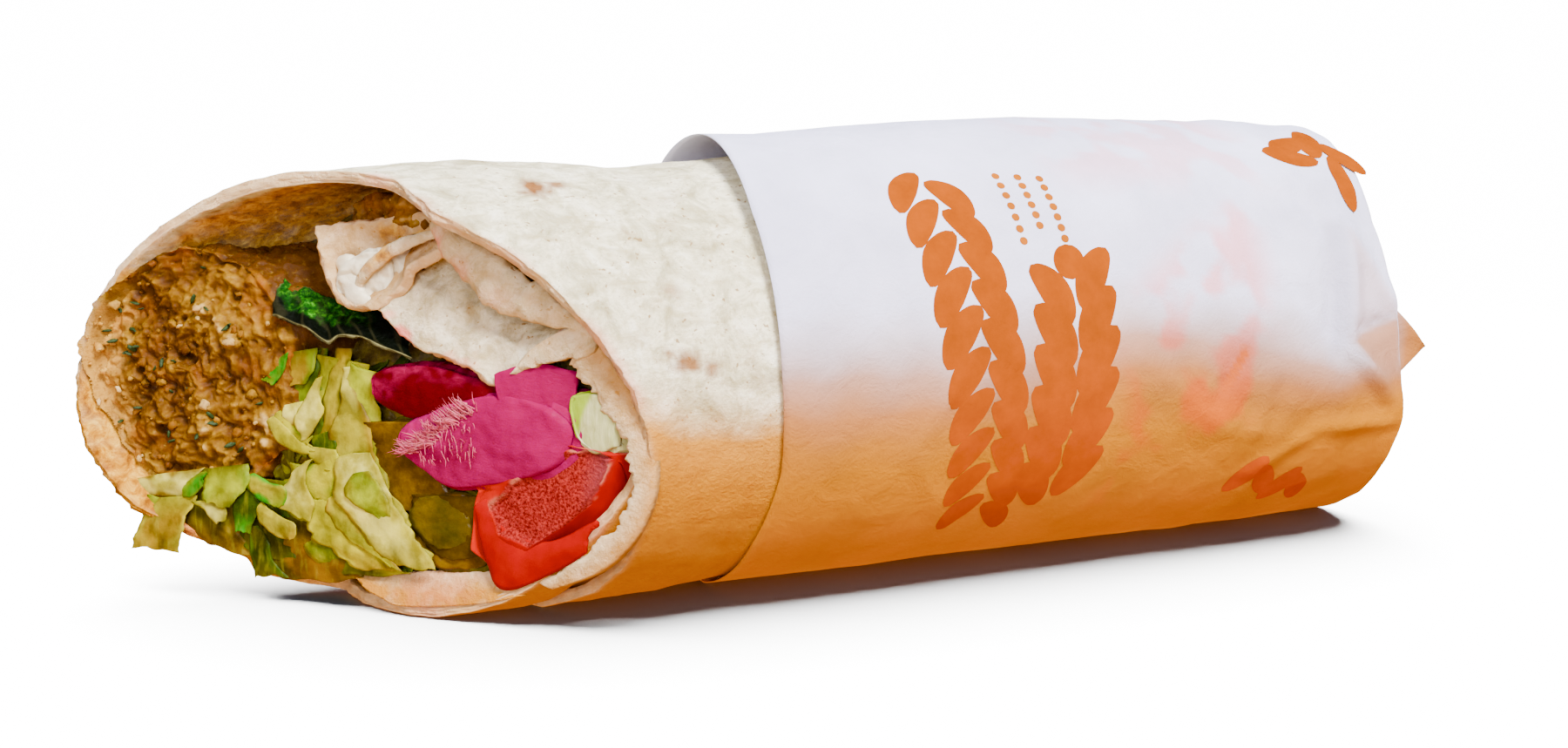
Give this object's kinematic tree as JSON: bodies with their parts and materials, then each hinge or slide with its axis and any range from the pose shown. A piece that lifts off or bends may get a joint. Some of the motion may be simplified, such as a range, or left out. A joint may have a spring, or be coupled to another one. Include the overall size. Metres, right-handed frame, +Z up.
{
  "type": "falafel wrap",
  "caption": "Half a rolled flatbread wrap, cut on the bias to show falafel, salad, pickles and sauce, held in a folded white paper sleeve.",
  "frame": {"origin": "centre of the bounding box on the ground plane, under the middle of the wrap", "axes": "+X along the roll towards the folded paper end, the cut end faces -X; +Z up; -Y is the side the cut turns towards"},
  "size_m": [0.2062, 0.0692, 0.0694],
  "materials": {
    "bread": "soft flatbread, pale cream with toasted spots",
    "paper": null,
    "falafel": "crumbly fried chickpea paste",
    "tomato": "wet tomato flesh and skin",
    "turnip": "wet pink pickled turnip",
    "pepper": "wet pale green pickled pepper",
    "pickle": "translucent olive pickled cucumber",
    "leaf": "dark green herb leaf",
    "lettuce": "crisp shredded lettuce, white ribs to green edges",
    "sauce": "white yoghurt or tahini sauce"
  },
  "bodies": {
    "root": {"tortilla": "bread", "paper": "paper", "falafel_1": "falafel", "falafel_2": "falafel", "falafel_3": "falafel", "lettuce": "lettuce", "leaf": "leaf", "turnip_1": "turnip", "turnip_2": "turnip", "green_pepper": "pepper", "tomato": "tomato", "pickle_1": "pickle", "pickle_2": "pickle", "sauce": "sauce"}
  },
  "joints": []
}
